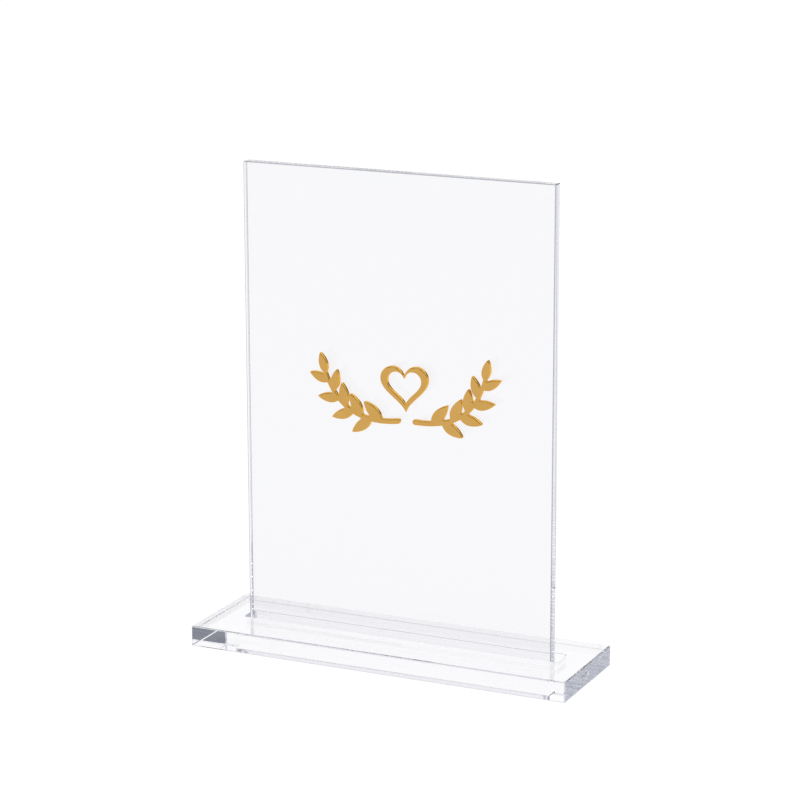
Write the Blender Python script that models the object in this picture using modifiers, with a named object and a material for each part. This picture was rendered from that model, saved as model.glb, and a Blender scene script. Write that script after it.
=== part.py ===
"""Clear acrylic table stand for photo cards or an album page.

A thick base slab has a milled groove, wider than the plate is thick. A clear plate stands at the front of the
groove and lifts out. The rest of the groove, behind the plate, takes a stack of cards or a thin album.
A gold mirror ornament, cut as two leafy sprigs and a heart, is bonded to the front of the plate.

Frame: origin under the middle of the base, X along the plate, Y to the back, Z up. Metres.
"""
import math

import bpy
from mathutils import Matrix, Vector

# ---------------------------------------------------------------- driving dimensions
BASE_LENGTH = 0.1853
BASE_DEPTH = 0.0550
BASE_THICKNESS = 0.0096
BASE_EDGE_ROUNDING = 0.00050

PLATE_WIDTH = 0.1508
PLATE_HEIGHT = 0.2204
PLATE_THICKNESS = 0.0050
PLATE_EDGE_ROUNDING = 0.00040
PLATE_FRONT_Y = -0.0046
PLATE_OFF_CENTRE = 0.0012

CONTACT_GAP = 0.0003
GROOVE_LENGTH = 0.1568
GROOVE_WIDTH = 0.0124
GROOVE_DEPTH = 0.0064
GROOVE_CORNER_RADIUS = 0.0015      # half of the milling cutter's diameter
GROOVE_EDGE_ROUNDING = 0.00025

ORNAMENT_THICKNESS = 0.0020
ORNAMENT_CENTRE_X = 0.0063
ORNAMENT_CENTRE_Z = 0.1260
ORNAMENT_TILT = math.radians(3.0)
ORNAMENT_EDGE_ROUNDING = 0.00030

HEART_WIDTH = 0.0235
HEART_LINE = 0.70                 # inner heart as a fraction of the outer one
HEART_RISE = 0.0030

STEM_START = Vector((0.0042, -0.0135))
STEM_BEND = Vector((0.0335, -0.0165))
STEM_END = Vector((0.0395, 0.0095))
STEM_WIDTH = 0.0026
LEAF_LENGTH = 0.0122
LEAF_WIDTH = 0.0054
LEAF_COUNT = 8                    # side leaves of a sprig, alternating
FIRST_LEAF = 0.15                 # where on the stem the first and the last of them grow
LAST_LEAF = 0.87
LEAF_SPREAD = math.radians(44.0)

ARC_STEPS = 6                     # straight pieces in each round corner of the groove
CUT_CLEARANCE = 0.0020            # how far a cutter stands out of the face it cuts

GROOVE_FLOOR = BASE_THICKNESS - GROOVE_DEPTH
GROOVE_CENTRE_Y = PLATE_FRONT_Y - CONTACT_GAP + GROOVE_WIDTH / 2


# ---------------------------------------------------------------- scene and helpers
def clear_scene():
    for thing in list(bpy.data.objects):
        bpy.data.objects.remove(thing, do_unlink=True)


def new_collection(name):
    group = bpy.data.collections.new(name)
    bpy.context.scene.collection.children.link(group)
    return group


def material(name, colour, metallic, roughness, transmission=0.0):
    made = bpy.data.materials.new(name)
    made.use_nodes = True
    shader = made.node_tree.nodes["Principled BSDF"]
    shader.inputs["Base Color"].default_value = (*colour, 1.0)
    shader.inputs["Metallic"].default_value = metallic
    shader.inputs["Roughness"].default_value = roughness
    shader.inputs["Transmission Weight"].default_value = transmission
    return made


def move_to(thing, group):
    for owner in list(thing.users_collection):
        owner.objects.unlink(thing)
    group.objects.link(thing)


def box(name, low, high, group):
    """A block between two corners, with its origin at its centre and its scale applied."""
    bpy.ops.mesh.primitive_cube_add(size=1.0, location=(Vector(low) + Vector(high)) / 2)
    block = bpy.context.object
    block.name = name
    size = Vector(high) - Vector(low)
    block.data.transform(Matrix.Diagonal((*size, 1.0)))
    move_to(block, group)
    return block


def outline_solid(name, loops, thickness, group):
    """A flat piece cut from sheet: closed outlines in the XY plane, extruded along Z by its thickness."""
    flat = bpy.data.curves.new(name, "CURVE")
    flat.dimensions = "2D"
    flat.fill_mode = "BOTH"
    flat.extrude = thickness / 2
    for loop in loops:
        spline = flat.splines.new("POLY")
        spline.points.add(len(loop) - 1)
        for point, place in zip(spline.points, loop):
            point.co = (place[0], place[1], 0.0, 1.0)
        spline.use_cyclic_u = True
    drawn = bpy.data.objects.new(name + "_outline", flat)
    group.objects.link(drawn)
    bpy.context.view_layer.update()
    mesh = bpy.data.meshes.new_from_object(drawn.evaluated_get(bpy.context.evaluated_depsgraph_get()))
    bpy.data.objects.remove(drawn, do_unlink=True)
    solid = bpy.data.objects.new(name, mesh)
    group.objects.link(solid)
    weld = solid.modifiers.new("weld caps", "WELD")
    weld.merge_threshold = 0.000001
    freeze(solid)
    return solid


def freeze(thing):
    """Apply every modifier of an object."""
    bpy.context.view_layer.update()
    mesh = bpy.data.meshes.new_from_object(thing.evaluated_get(bpy.context.evaluated_depsgraph_get()))
    thing.modifiers.clear()
    thing.data = mesh


def cut(thing, cutter):
    step = thing.modifiers.new("cut " + cutter.name, "BOOLEAN")
    step.operation = "DIFFERENCE"
    step.solver = "EXACT"
    step.object = cutter
    cutter.hide_render = True
    cutter.display_type = "WIRE"


def round_edges(thing, radius, segments, angle):
    edge = thing.modifiers.new("polished edges", "BEVEL")
    edge.width = radius
    edge.segments = segments
    edge.limit_method = "ANGLE"
    edge.angle_limit = math.radians(angle)
    return edge


def finish(thing, finish_material):
    thing.data.materials.clear()
    thing.data.materials.append(finish_material)


def arc(centre, radius, start, end, steps):
    """Points on a circular arc, angles in radians, both ends included."""
    points = []
    for step in range(steps + 1):
        angle = start + (end - start) * step / steps
        points.append((centre[0] + radius * math.cos(angle), centre[1] + radius * math.sin(angle)))
    return points


# ---------------------------------------------------------------- base slab
def groove_outline():
    """The groove from above: a rectangle centred on the plate, with corners as round as the milling cutter."""
    reach = GROOVE_LENGTH / 2 - GROOVE_CORNER_RADIUS
    half = GROOVE_WIDTH / 2 - GROOVE_CORNER_RADIUS
    points = []
    for quarter, (side, end) in enumerate(((1, -1), (1, 1), (-1, 1), (-1, -1))):
        centre = (PLATE_OFF_CENTRE + side * reach, GROOVE_CENTRE_Y + end * half)
        start = (quarter - 1) * math.pi / 2
        points += arc(centre, GROOVE_CORNER_RADIUS, start, start + math.pi / 2, ARC_STEPS)
    return points


def build_base(parts, cutters, acrylic):
    half = Vector((BASE_LENGTH / 2, BASE_DEPTH / 2))
    base = box("base_slab", (-half.x, -half.y, 0.0), (half.x, half.y, BASE_THICKNESS), parts)
    round_edges(base, BASE_EDGE_ROUNDING, 2, 60.0)

    height = GROOVE_DEPTH + CUT_CLEARANCE
    groove = outline_solid("groove_cutter", [groove_outline()], height, cutters)
    groove.location.z = GROOVE_FLOOR + height / 2
    cut(base, groove)
    # The groove's short corner pieces would otherwise hold this bevel down to a few hundredths of a millimetre.
    round_edges(base, GROOVE_EDGE_ROUNDING, 1, 60.0).use_clamp_overlap = False
    finish(base, acrylic)


# ---------------------------------------------------------------- upright plate
def build_plate(parts, lift, acrylic):
    floor = GROOVE_FLOOR + CONTACT_GAP
    left = PLATE_OFF_CENTRE - PLATE_WIDTH / 2
    low = (left, PLATE_FRONT_Y, floor)
    high = (left + PLATE_WIDTH, PLATE_FRONT_Y + PLATE_THICKNESS, floor + PLATE_HEIGHT)
    plate = box("clear_plate", low, high, parts)
    round_edges(plate, PLATE_EDGE_ROUNDING, 2, 60.0)
    finish(plate, acrylic)
    ride(plate, lift)


def ride(thing, carrier):
    """Parent a piece to its carrier without moving it."""
    thing.parent = carrier
    thing.matrix_parent_inverse = carrier.matrix_world.inverted()


# ---------------------------------------------------------------- gold ornament
def heart_loop(size, count=72):
    """The classic heart curve, scaled so that its width is the given size."""
    points = []
    for step in range(count):
        turn = math.tau * step / count
        across = 16 * math.sin(turn) ** 3
        up = 13 * math.cos(turn) - 5 * math.cos(2 * turn) - 2 * math.cos(3 * turn) - math.cos(4 * turn)
        points.append((across * size / 32, up * size / 32))
    return points


def stem_point(along):
    """A point on the stem's curve, a quadratic from its start past its bend to its end."""
    rest = 1 - along
    return STEM_START * rest * rest + STEM_BEND * 2 * rest * along + STEM_END * along * along


def stem_direction(along):
    return ((STEM_BEND - STEM_START) * (1 - along) + (STEM_END - STEM_BEND) * along).normalized()


def stem_loop(count=24):
    """The stem's outline: it tapers to three fifths of its width, and both of its ends are round."""
    near, far = [], []
    for step in range(count + 1):
        along = step / count
        side = Vector((-stem_direction(along).y, stem_direction(along).x))
        half = STEM_WIDTH / 2 * (1 - 0.4 * along)
        near.append(stem_point(along) - side * half)
        far.append(stem_point(along) + side * half)
    heading = math.atan2(stem_direction(0.0).y, stem_direction(0.0).x)
    back = arc(STEM_START, STEM_WIDTH / 2, heading + math.pi / 2, heading + 3 * math.pi / 2, 8)
    return near + far[::-1] + [Vector(point) for point in back[1:-1]]


def leaf_loop(root, heading, length, width, count=14):
    """A leaf from its root along its heading, widest before the middle, with a narrow rounded tip."""
    ahead = Vector((math.cos(heading), math.sin(heading)))
    side = Vector((-ahead.y, ahead.x))
    upper, lower = [], []
    for step in range(count + 1):
        along = (1 - math.cos(math.pi * step / count)) / 2
        half = width / 2 * math.sin(math.pi * along ** 0.8) ** 0.75 if 0 < step < count else 0.0
        upper.append(root + ahead * length * along + side * half)
        lower.append(root + ahead * length * along - side * half)
    return upper + lower[-2:0:-1]


def leaf_plan():
    """Root, heading and size of each leaf: they alternate, shrink towards the tip, and one ends the stem."""
    leaves = []
    for number in range(LEAF_COUNT):
        along = FIRST_LEAF + (LAST_LEAF - FIRST_LEAF) * number / (LEAF_COUNT - 1)
        side = -1 if number % 2 else 1
        heading = math.atan2(stem_direction(along).y, stem_direction(along).x)
        leaves.append((stem_point(along), heading + side * LEAF_SPREAD, 1 - 0.20 * along))
    end = math.atan2(stem_direction(1.0).y, stem_direction(1.0).x)
    leaves.append((stem_point(0.95), end, 0.80))
    return leaves


def mirrored(loop, side):
    """The loop itself on side +1, or its mirror image about X = 0 on side -1, in the same turning sense."""
    if side > 0:
        return loop
    return [(-point[0], point[1]) for point in reversed(loop)]


def place_on_plate(piece, lift, gold):
    """Stand a flat piece up on the plate's front, tilted and centred as the ornament is, one gap off it."""
    front = PLATE_FRONT_Y - CONTACT_GAP - ORNAMENT_THICKNESS / 2
    centre = Matrix.Translation((ORNAMENT_CENTRE_X, front, ORNAMENT_CENTRE_Z))
    stand_up = Matrix.Rotation(math.pi / 2, 4, "X")
    tilt = Matrix.Rotation(ORNAMENT_TILT, 4, "Z")
    piece.matrix_world = centre @ stand_up @ tilt
    round_edges(piece, ORNAMENT_EDGE_ROUNDING, 1, 65.0)
    finish(piece, gold)
    bpy.context.view_layer.update()
    ride(piece, lift)


def build_sprig(name, side, parts, cutters, lift, gold):
    sprig = outline_solid(name, [mirrored(stem_loop(), side)], ORNAMENT_THICKNESS, parts)
    leaves = bpy.data.collections.new(name + "_leaves")
    cutters.children.link(leaves)
    for number, (root, heading, size) in enumerate(leaf_plan(), 1):
        loop = mirrored(leaf_loop(root, heading, LEAF_LENGTH * size, LEAF_WIDTH * size), side)
        leaf = outline_solid(f"{name}_leaf_{number}", [loop], ORNAMENT_THICKNESS, leaves)
        leaf.hide_render = True
        leaf.display_type = "WIRE"
        join = sprig.modifiers.new(f"leaf {number}", "BOOLEAN")
        join.operation = "UNION"
        join.solver = "EXACT"
        join.object = leaf
    freeze(sprig)
    place_on_plate(sprig, lift, gold)


def build_heart(parts, lift, gold):
    outer = [(x, y + HEART_RISE) for x, y in heart_loop(HEART_WIDTH)]
    inner = [(x, y + HEART_RISE) for x, y in heart_loop(HEART_WIDTH * HEART_LINE)]
    heart = outline_solid("ornament_heart", [outer, inner], ORNAMENT_THICKNESS, parts)
    place_on_plate(heart, lift, gold)


def main():
    clear_scene()
    parts = new_collection("photo_album_stand")
    cutters = new_collection("cutters")
    base_acrylic = material("clear_cast_acrylic_base", (0.93, 0.95, 0.96), 0.0, 0.03, 1.0)
    plate_acrylic = material("clear_cast_acrylic_plate", (0.95, 0.96, 0.97), 0.0, 0.03, 1.0)
    lift = bpy.data.objects.new("plate_lift", None)
    parts.objects.link(lift)
    lift.location = (PLATE_OFF_CENTRE, PLATE_FRONT_Y + PLATE_THICKNESS / 2, BASE_THICKNESS)
    bpy.context.view_layer.update()

    build_base(parts, cutters, base_acrylic)
    build_plate(parts, lift, plate_acrylic)
    for name, side in (("ornament_left_sprig", -1), ("ornament_right_sprig", 1)):
        gold = material(name + "_gold_mirror", (0.60, 0.38, 0.09), 1.0, 0.12)
        build_sprig(name, side, parts, cutters, lift, gold)
    build_heart(parts, lift, material("ornament_heart_gold_mirror", (0.60, 0.38, 0.09), 1.0, 0.12))


main()
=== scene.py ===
# %% [markdown]
# # A clear acrylic table stand with a gold ornament
#
# The real object is made of two pieces of clear cast acrylic. A thick slab lies on the table, and a
# tall plate stands in a groove that is milled into the slab. Three flat pieces of gold mirror
# acrylic, two leafy sprigs and a heart, are glued to the front of the plate.
#
# Almost all of the object is transparent, so there is little to paint. What the eye reads is the
# light that bends and bounces inside the clear pieces. This lesson therefore spends its effort on
# three things: the light around the object, the clear material, and the small shiny rims of the
# gold.
#
# The shapes with a real size come from a finished CAD model. The script loads them first and never
# moves them.

import math

import bpy
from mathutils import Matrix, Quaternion, Vector


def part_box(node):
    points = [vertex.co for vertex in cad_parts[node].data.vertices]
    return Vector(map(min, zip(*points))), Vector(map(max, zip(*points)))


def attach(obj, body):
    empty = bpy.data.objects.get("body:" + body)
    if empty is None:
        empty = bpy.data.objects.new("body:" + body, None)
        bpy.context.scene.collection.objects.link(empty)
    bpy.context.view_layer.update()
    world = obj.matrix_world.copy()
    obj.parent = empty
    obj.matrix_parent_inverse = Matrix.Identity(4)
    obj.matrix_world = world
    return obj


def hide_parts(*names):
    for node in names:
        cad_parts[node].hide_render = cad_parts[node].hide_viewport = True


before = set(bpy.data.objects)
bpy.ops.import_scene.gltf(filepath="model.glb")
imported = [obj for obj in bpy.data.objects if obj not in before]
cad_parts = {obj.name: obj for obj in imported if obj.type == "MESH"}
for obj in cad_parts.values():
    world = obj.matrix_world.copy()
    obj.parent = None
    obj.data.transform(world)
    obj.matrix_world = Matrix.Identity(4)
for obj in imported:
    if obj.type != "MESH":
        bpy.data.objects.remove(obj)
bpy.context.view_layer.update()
scene = bpy.context.scene
MM = 0.001
slab_low, slab_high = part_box("base_slab")
plate_low, plate_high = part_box("clear_plate")
print("CAD nodes:", sorted(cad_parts))
print("slab in mm:", [round(side / MM, 1) for side in slab_high - slab_low])
print("plate in mm:", [round(side / MM, 1) for side in plate_high - plate_low])

# %% [markdown]
# ## The camera
#
# A long lens from 1.3 metres away keeps the upright edges of the plate nearly parallel, as in a
# product shot. The camera stands to the right of the front and looks down by fourteen degrees, so
# that the top of the slab and its right end are both seen.
#
# Such a place is easier to describe by two angles and a distance than by three coordinates. A small
# function turns the angles into a direction. The lights use the same function later.

# %% Camera from two angles and a distance
CAMERA_AZIMUTH = 25.064
CAMERA_ELEVATION = 14.043
CAMERA_ROLL = -0.13
CAMERA_DISTANCE = 1.290
AIM = Vector((0.9, 0.0, 120.4)) * MM
LENS_MM = 129.93


def direction_from(azimuth, elevation):
    """A unit vector from two angles in degrees. Azimuth 0 is the front, -Y, and 90 the right, +X."""
    turn, rise = math.radians(azimuth), math.radians(elevation)
    return Vector((math.sin(turn) * math.cos(rise), -math.cos(turn) * math.cos(rise), math.sin(rise)))


lens = bpy.data.cameras.new("camera")
lens.lens = LENS_MM
lens.clip_end = 100.0
camera = bpy.data.objects.new("camera", lens)
scene.collection.objects.link(camera)
scene.camera = camera
towards_camera = direction_from(CAMERA_AZIMUTH, CAMERA_ELEVATION)
camera.location = AIM + towards_camera * CAMERA_DISTANCE
camera.rotation_mode = "QUATERNION"
roll = Quaternion((0.0, 0.0, 1.0), math.radians(CAMERA_ROLL))
camera.rotation_quaternion = towards_camera.to_track_quat("Z", "Y") @ roll
print("camera at", [round(part, 3) for part in camera.location])

# %% [markdown]
# ## Two helpers for materials
#
# Colours are easiest to compare as sRGB hex values, but a shader works with linear light, so one
# function converts them. Node trees are built with a second small function. It adds one node, sets
# the node's own settings, and fills each named input with a value or with a link from another node.

# %% Colour and node helpers
def srgb(hex_colour):
    """Linear RGBA from an sRGB hex value such as '#C79A45'."""
    parts = [int(hex_colour[start:start + 2], 16) / 255 for start in (1, 3, 5)]
    linear = [part / 12.92 if part <= 0.04045 else ((part + 0.055) / 1.055) ** 2.4 for part in parts]
    return (*linear, 1.0)


def add_node(tree, kind, inputs=None, **settings):
    """Add one node. Settings are its own properties. Inputs maps sockets to values or to outputs."""
    node = tree.nodes.new(kind)
    for name, value in settings.items():
        setattr(node, name, value)
    for socket, value in (inputs or {}).items():
        if isinstance(value, bpy.types.NodeSocket):
            tree.links.new(value, node.inputs[socket])
        else:
            node.inputs[socket].default_value = value
    return node


def new_material(name):
    """An empty Principled material: returns the material, its node tree and its shader."""
    made = bpy.data.materials.new(name)
    made.use_nodes = True
    return made, made.node_tree, made.node_tree.nodes["Principled BSDF"]


print("linear mid grey:", round(srgb("#808080")[0], 3))

# %% [markdown]
# ## The light table
#
# Clear objects are photographed on a light table: a pale translucent sheet that glows from below.
# It has almost the same brightness as the studio around it, so a clear object has no shadow and
# only its edges show.
#
# The floor here is one large plane. Nearly all of its brightness is emission, and the little that
# is left is a diffuse surface. It lies a fifth of a millimetre under the slab. Without that gap the
# slab and the floor would share a plane, and the air under the real slab is what makes its
# underside act as a mirror.

# %% Floor
FLOOR_SIZE = 60.0
FLOOR_GAP = 0.2 * MM
FLOOR_GLOW = 0.97
FLOOR_GREY = "#4A4A4A"
FLOOR_ROUGHNESS = 0.9


def build_floor():
    bpy.ops.mesh.primitive_plane_add(size=FLOOR_SIZE, location=(0.0, 0.0, slab_low.z - FLOOR_GAP))
    floor = bpy.context.object
    floor.name = "light_table"
    made, tree, shader = new_material("opal_glass_light_table")
    shader.inputs["Base Color"].default_value = srgb(FLOOR_GREY)
    shader.inputs["Roughness"].default_value = FLOOR_ROUGHNESS
    shader.inputs["Specular IOR Level"].default_value = 0.0
    shader.inputs["Emission Color"].default_value = srgb("#FFFFFF")
    shader.inputs["Emission Strength"].default_value = FLOOR_GLOW
    floor.data.materials.append(made)
    return floor


build_floor()
print("floor", FLOOR_SIZE, "m wide,", FLOOR_GAP / MM, "mm under the slab")

# %% [markdown]
# ## The studio
#
# If everything around a clear object were equally white, the object would vanish. Photographers
# therefore hang black cloths, called flags, where only the edges of the object can see them. The
# edges then turn into fine dark lines, while the middle stays clear.
#
# The studio is a white world with such flags in it. Each flag is a round patch with a soft border
# around a direction: the dot product of the looking direction and the flag's direction is the
# cosine of the angle between them, and a smooth step between two angles turns it into a patch. The
# cloth is a cool slate grey and not black, which gives the edges and corners their faint blue.

# %% White world with soft dark flags
FLAGS = [
    # azimuth, elevation, inner and outer radius in degrees, colour of the cloth
    (18.0, 12.0, 24.0, 42.0, "#767A88"),
    (-31.0, 9.0, 7.0, 11.0, "#5C6070"),
    (151.0, 18.0, 11.0, 22.0, "#7C808C"),
]


def build_studio():
    world = bpy.data.worlds.new("studio")
    world.use_nodes = True
    scene.world = world
    tree = world.node_tree
    looking = add_node(tree, "ShaderNodeTexCoord").outputs["Generated"]
    colour = srgb("#FFFFFF")
    for azimuth, elevation, inner, outer, cloth in FLAGS:
        towards_flag = direction_from(azimuth, elevation)
        cosine = add_node(tree, "ShaderNodeVectorMath", {
            0: looking, 1: towards_flag,
        }, operation="DOT_PRODUCT")
        patch = add_node(tree, "ShaderNodeMapRange", {
            "Value": cosine.outputs["Value"],
            "From Min": math.cos(math.radians(outer)),
            "From Max": math.cos(math.radians(inner)),
        }, interpolation_type="SMOOTHSTEP")
        hung = add_node(tree, "ShaderNodeMix", {
            0: patch.outputs["Result"], 6: colour, 7: srgb(cloth),
        }, data_type="RGBA", blend_type="MULTIPLY")
        colour = hung.outputs[2]
    tree.links.new(colour, tree.nodes["Background"].inputs["Color"])


build_studio()
print("flags:", len(FLAGS))

# %% [markdown]
# The gold needs one more thing. Its flat fronts mirror the light table, which gives them a calm,
# even tone, but its round rims should sparkle. One soft box, almost twice as bright as the white
# studio, hangs high on the right, where only a surface that is turned up and to the right mirrors
# it to the camera.
#
# A lamp's brightness as seen in a mirror is its power spread over its area and over the half sphere
# it shines into, so the power is worked out from the brightness that is wanted.

# %% Soft box for the gold rims
SOFT_BOX_AZIMUTH = 52.0
SOFT_BOX_ELEVATION = 46.0
SOFT_BOX_DISTANCE = 1.1
SOFT_BOX_SIDE = 0.60
SOFT_BOX_BRIGHTNESS = 1.9


def hang_soft_box():
    lamp = bpy.data.lights.new("soft_box", "AREA")
    lamp.shape = "SQUARE"
    lamp.size = SOFT_BOX_SIDE
    lamp.energy = SOFT_BOX_BRIGHTNESS * math.pi * SOFT_BOX_SIDE ** 2
    soft_box = bpy.data.objects.new("soft_box", lamp)
    scene.collection.objects.link(soft_box)
    towards_box = direction_from(SOFT_BOX_AZIMUTH, SOFT_BOX_ELEVATION)
    soft_box.location = AIM + towards_box * SOFT_BOX_DISTANCE
    soft_box.rotation_mode = "QUATERNION"
    soft_box.rotation_quaternion = towards_box.to_track_quat("Z", "Y")
    return lamp


print("soft box power in watts:", round(hang_soft_box().energy, 2))

# %% [markdown]
# ## Light paths and tone
#
# Light that enters the plate's narrow edge is trapped between the two big faces and bounces about
# once every 6 mm, so it needs some forty bounces to come out again. With the default of twelve the
# edges turn black. The plain Standard view keeps white paper white.

# %% Bounces and view transform
LIGHT_BOUNCES = 96
scene.view_settings.view_transform = "Standard"
scene.cycles.max_bounces = LIGHT_BOUNCES
scene.cycles.transmission_bounces = LIGHT_BOUNCES
scene.cycles.glossy_bounces = LIGHT_BOUNCES
scene.cycles.use_denoising = True
print("bounces:", scene.cycles.max_bounces)

# %% [markdown]
# ## Clear cast acrylic
#
# Cast acrylic, or PMMA, is poured between two sheets of glass, so its big faces are as flat and
# glossy as the glass was. Its index of refraction is 1.49, a little less than window glass. The
# edges are cut with a saw or a router and then polished with a flame or a diamond cutter, which
# leaves them glossy but very slightly uneven.
#
# The material is a Principled shader with full transmission, and three small things keep it from
# looking like an empty computer model: a colour that depends on the place, with painted shade on
# the ends and arrises, a swell, and wiping marks. The colour comes first.
#
# The most visible part of a clear block is the arris, the thin rounded strip where two faces meet.
# It gathers light from every side and shows it as a fine grey line with a touch of blue. Here that
# line is painted shade: the arrises get a darker grey-blue colour. A face's normal points along one
# axis and an arris normal does not, so the largest component of the normal tells them apart. The
# two ends across X are painted darker too, a painted shade in place of the dark reflections in them.

# %% Face colour, with painted shade for ends and arrises
FLAT_FACE = 0.99
FULL_ARRIS = 0.93


def tint_with_painted_shade(tree, place, colours, arrises_from):
    """Colour of faces with painted shade on ends and arrises. Arrises count only above a height."""
    normal = add_node(tree, "ShaderNodeNewGeometry").outputs["Normal"]
    size = add_node(tree, "ShaderNodeVectorMath", {0: normal}, operation="ABSOLUTE")
    along = add_node(tree, "ShaderNodeSeparateXYZ", {0: size.outputs["Vector"]}).outputs
    across = add_node(tree, "ShaderNodeMath", {0: along["Y"], 1: along["Z"]}, operation="MAXIMUM")
    largest = add_node(tree, "ShaderNodeMath", {
        0: along["X"], 1: across.outputs[0],
    }, operation="MAXIMUM")
    # Arris mask: this is where the painted shade goes on the arrises.
    painted_arris_shade_mask = add_node(tree, "ShaderNodeMapRange", {
        "Value": largest.outputs[0],
        "From Min": FLAT_FACE,
        "From Max": FULL_ARRIS,
    })
    height = add_node(tree, "ShaderNodeSeparateXYZ", {0: place}).outputs["Z"]
    high_enough = add_node(tree, "ShaderNodeMath", {
        0: height, 1: arrises_from,
    }, operation="GREATER_THAN")
    painted_arris_shade_weight = add_node(tree, "ShaderNodeMath", {
        0: painted_arris_shade_mask.outputs["Result"], 1: high_enough.outputs[0],
    }, operation="MULTIPLY")
    # face is the plastic's own faint colour; end and arris are painted shade, darker colours painted
    # on the ends and the arrises.
    face, end, arris = (srgb(colour) for colour in colours)
    sheet = add_node(tree, "ShaderNodeMix", {0: along["X"], 6: face, 7: end}, data_type="RGBA")
    tint_and_painted_shade_colour = add_node(tree, "ShaderNodeMix", {
        0: painted_arris_shade_weight.outputs[0], 6: sheet.outputs[2], 7: arris,
    }, data_type="RGBA")
    return tint_and_painted_shade_colour.outputs[2]


print("an arris is where no part of the normal is over", FLAT_FACE)

# %% [markdown]
# The sheet swells and thins by hundredths of a millimetre over a few centimetres, because the glass
# it was poured on gives a little. A weak, wide bump imitates that, and it bends long reflections by
# a hair.
#
# A clear piece is wiped with a cloth before it is shown, always along its length. The marks are far
# too fine to be seen one by one, so they are drawn about a centimetre long and a little under a
# millimetre wide. They show only as places where the gloss is a trace softer.

# %% Acrylic material
ACRYLIC_IOR = 1.49
SWELL_WAVELENGTH = 45 * MM
SWELL_HEIGHT = 0.02 * MM
WIPE_MARK_LENGTH = 12 * MM
WIPE_MARK_WIDTH = 0.8 * MM
WIPE_MARK_ROUGHNESS = 0.012
WIPE_MARK_START = 0.60
WIPE_MARK_FULL = 0.85


def clear_acrylic(name, colours, arrises_from):
    """Cast acrylic sheet. The colours are those of its faces, and the painted shade of its two ends
    and its arrises.
    """
    made, tree, shader = new_material(name)
    place = add_node(tree, "ShaderNodeTexCoord").outputs["Object"]
    tree.links.new(tint_with_painted_shade(tree, place, colours, arrises_from), shader.inputs["Base Color"])

    wiped = add_node(tree, "ShaderNodeMapping", {
        "Vector": place,
        "Scale": (1 / WIPE_MARK_LENGTH, 1 / WIPE_MARK_WIDTH, 1 / WIPE_MARK_WIDTH),
    })
    marks = add_node(tree, "ShaderNodeTexNoise", {
        "Vector": wiped.outputs["Vector"], "Scale": 1.0, "Detail": 3.0,
    })
    gloss = add_node(tree, "ShaderNodeMapRange", {
        "Value": marks.outputs["Fac"],
        "From Min": WIPE_MARK_START,
        "From Max": WIPE_MARK_FULL,
        "To Min": 0.0,
        "To Max": WIPE_MARK_ROUGHNESS,
    })
    tree.links.new(gloss.outputs["Result"], shader.inputs["Roughness"])

    swell = add_node(tree, "ShaderNodeTexNoise", {
        "Vector": place, "Scale": 1 / SWELL_WAVELENGTH, "Detail": 1.0,
    })
    bump = add_node(tree, "ShaderNodeBump", {
        "Height": swell.outputs["Fac"],
        "Strength": 1.0,
        "Distance": SWELL_HEIGHT,
    })
    tree.links.new(bump.outputs["Normal"], shader.inputs["Normal"])

    shader.inputs["IOR"].default_value = ACRYLIC_IOR
    shader.inputs["Transmission Weight"].default_value = 1.0
    return made


print("acrylic IOR:", ACRYLIC_IOR)

# %% [markdown]
# Both clear pieces are CAD nodes with the right shape, so they stay and only get the material in
# their slots. The slab is cut from a thicker sheet, and its ends are painted darker, a painted
# shade. The arrises of the plate's foot get no painted shade: they lie inside the groove, where a
# dark line would be mirrored again and again in the plate's narrow edge.

# %% Acrylic on the slab and the plate
# Each triple: the faces' own faint colour, then painted shade for the two ends and for the arrises.
SLAB_TINT_AND_PAINTED_SHADE = ("#FAFAFC", "#A8ACBA", "#BCBCC8")
PLATE_TINT_AND_PAINTED_SHADE = ("#F4F4F6", "#E4E4EC", "#80808E")
BELOW_THE_SLAB = slab_low.z - 1 * MM


def paint(node, made):
    """Give a CAD node its material in every slot. The mesh itself isn't touched."""
    for material_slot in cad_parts[node].material_slots:
        material_slot.material = made


paint("base_slab", clear_acrylic("clear_cast_acrylic_slab", SLAB_TINT_AND_PAINTED_SHADE, BELOW_THE_SLAB))
paint("clear_plate", clear_acrylic("clear_cast_acrylic_plate", PLATE_TINT_AND_PAINTED_SHADE, slab_high.z))
print("acrylic on:", [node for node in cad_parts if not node.startswith("ornament")])

# %% [markdown]
# ## Gold mirror acrylic
#
# The ornament is cut by laser from acrylic sheet with a vacuum-coated gold mirror surface, and its
# cut edges are softened by the heat. The eye gets a flat, calm gold on the front, and thin bright
# or brown lines where the rims turn away.
#
# As a metal it keeps the default IOR. Metallic is 1, and its colour is the colour of its
# reflections. Roughness near 0.1 is typical of a coated mirror sheet that is not optically flat. A
# weak, fine bump imitates the slight orange peel of the coating. The rims, where the cut edge of the
# sheet shows, are painted a brighter, more orange gold: a painted highlight.

# %% Gold material
GOLD_FRONT = "#D0A55E"
GOLD_FRONT_DEEP = "#C79B50"
# The rim colour is a painted highlight: a brighter, more orange gold on the rims.
GOLD_RIM_PAINTED_HIGHLIGHT = "#EDB445"
CLOUD_WAVELENGTH = 9 * MM
ORANGE_PEEL_WAVELENGTH = 1.2 * MM
ORANGE_PEEL_HEIGHT = 0.006 * MM
SMOOTHEST = 0.08
ROUGHEST = 0.16
RIM_STARTS = 0.98
RIM_IS_FULL = 0.80


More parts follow.
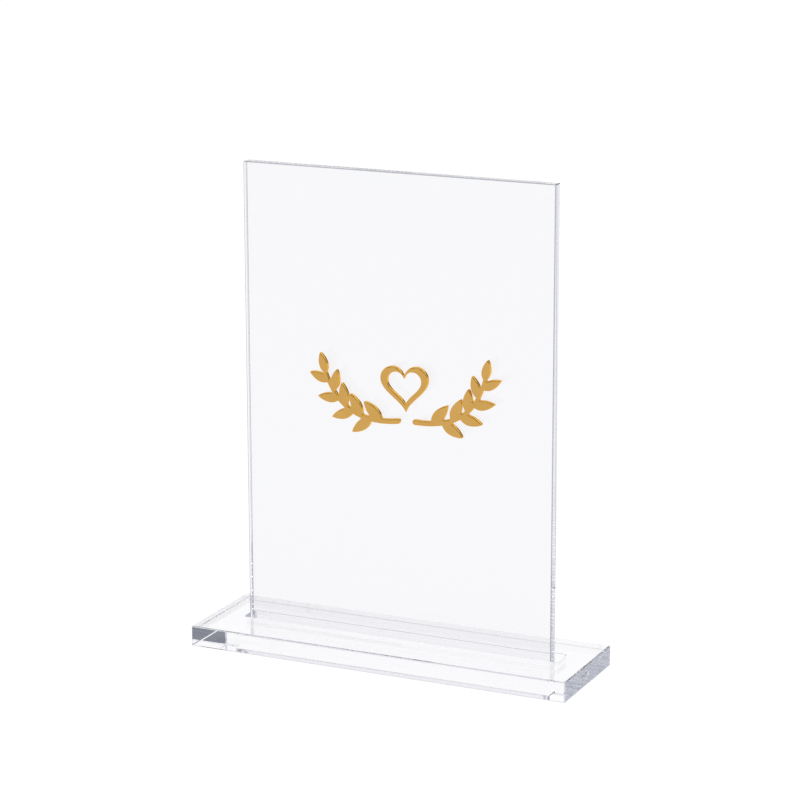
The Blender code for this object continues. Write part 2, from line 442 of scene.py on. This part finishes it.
def gold_with_painted_rim_highlight(tree, place):
    """A calm, faintly clouded gold on the front, and a brighter, more orange gold painted where the
    surface turns, as a painted highlight.
    """
    normal = add_node(tree, "ShaderNodeNewGeometry").outputs["Normal"]
    facing = add_node(tree, "ShaderNodeSeparateXYZ", {0: normal})
    frontness = add_node(tree, "ShaderNodeMath", {0: facing.outputs["Y"]}, operation="ABSOLUTE")
    cloud = add_node(tree, "ShaderNodeTexNoise", {
        "Vector": place, "Scale": 1 / CLOUD_WAVELENGTH, "Detail": 1.0,
    })
    front = add_node(tree, "ShaderNodeMix", {
        0: cloud.outputs["Fac"], 6: srgb(GOLD_FRONT_DEEP), 7: srgb(GOLD_FRONT),
    }, data_type="RGBA")
    # turn masks the rims, where the painted highlight goes.
    turn = add_node(tree, "ShaderNodeMapRange", {
        "Value": frontness.outputs["Value"],
        "From Min": RIM_IS_FULL,
        "From Max": RIM_STARTS,
    })
    colour = add_node(tree, "ShaderNodeMix", {
        0: turn.outputs["Result"], 6: srgb(GOLD_RIM_PAINTED_HIGHLIGHT), 7: front.outputs[2],
    }, data_type="RGBA")
    return colour.outputs[2]


def gold_mirror():
    made, tree, shader = new_material("gold_mirror_acrylic_laser_cut")
    place = add_node(tree, "ShaderNodeTexCoord").outputs["Object"]
    tree.links.new(gold_with_painted_rim_highlight(tree, place), shader.inputs["Base Color"])
    peel = add_node(tree, "ShaderNodeTexNoise", {
        "Vector": place, "Scale": 1 / ORANGE_PEEL_WAVELENGTH, "Detail": 2.0,
    })
    gloss = add_node(tree, "ShaderNodeMapRange", {
        "Value": peel.outputs["Fac"], "To Min": SMOOTHEST, "To Max": ROUGHEST,
    })
    tree.links.new(gloss.outputs["Result"], shader.inputs["Roughness"])
    bump = add_node(tree, "ShaderNodeBump", {
        "Height": peel.outputs["Fac"], "Strength": 1.0, "Distance": ORANGE_PEEL_HEIGHT,
    })
    tree.links.new(bump.outputs["Normal"], shader.inputs["Normal"])
    shader.inputs["Metallic"].default_value = 1.0
    return made


gold = gold_mirror()
print("gold:", gold.name)

# %% [markdown]
# ## The ornament's rims
#
# The CAD solids of the sprigs and the heart have the right outline and thickness, but their edges
# are plain chamfers. The real rims are round, and they are what makes the gold sparkle.
#
# A bevel has trouble in the tight corners where leaves meet the stem. A voxel remesh does not: it
# pours the whole solid into a fine, even grid of faces, and light rounds of smoothing then pull
# every edge in while the flat front stays flat. The new pieces stand for the CAD ones and ride on
# the plate.

# %% Rounded gold pieces
VOXEL = 0.22 * MM
SMOOTHING_ROUNDS = 24
SMOOTHING_STRENGTH = 0.5


def poured_copy(node, name):
    """A copy of a CAD node with an even skin and round rims."""
    piece = bpy.data.objects.new(name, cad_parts[node].data.copy())
    scene.collection.objects.link(piece)
    skin = piece.modifiers.new("even skin", "REMESH")
    skin.mode = "VOXEL"
    skin.voxel_size = VOXEL
    skin.adaptivity = 0.0
    rims = piece.modifiers.new("round rims", "SMOOTH")
    rims.factor = SMOOTHING_STRENGTH
    rims.iterations = SMOOTHING_ROUNDS
    bpy.context.view_layer.update()
    mesh = bpy.data.meshes.new_from_object(piece.evaluated_get(bpy.context.evaluated_depsgraph_get()))
    piece.modifiers.clear()
    piece.data = mesh
    mesh.shade_smooth()
    mesh.materials.clear()
    mesh.materials.append(gold)
    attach(piece, "plate")
    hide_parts(node)
    return piece


for node, name in (
    ("ornament_left_sprig", "gold_left_sprig"),
    ("ornament_heart", "gold_heart"),
    ("ornament_right_sprig", "gold_right_sprig"),
):
    piece = poured_copy(node, name)
    print(name, "has", len(piece.data.polygons), "faces")
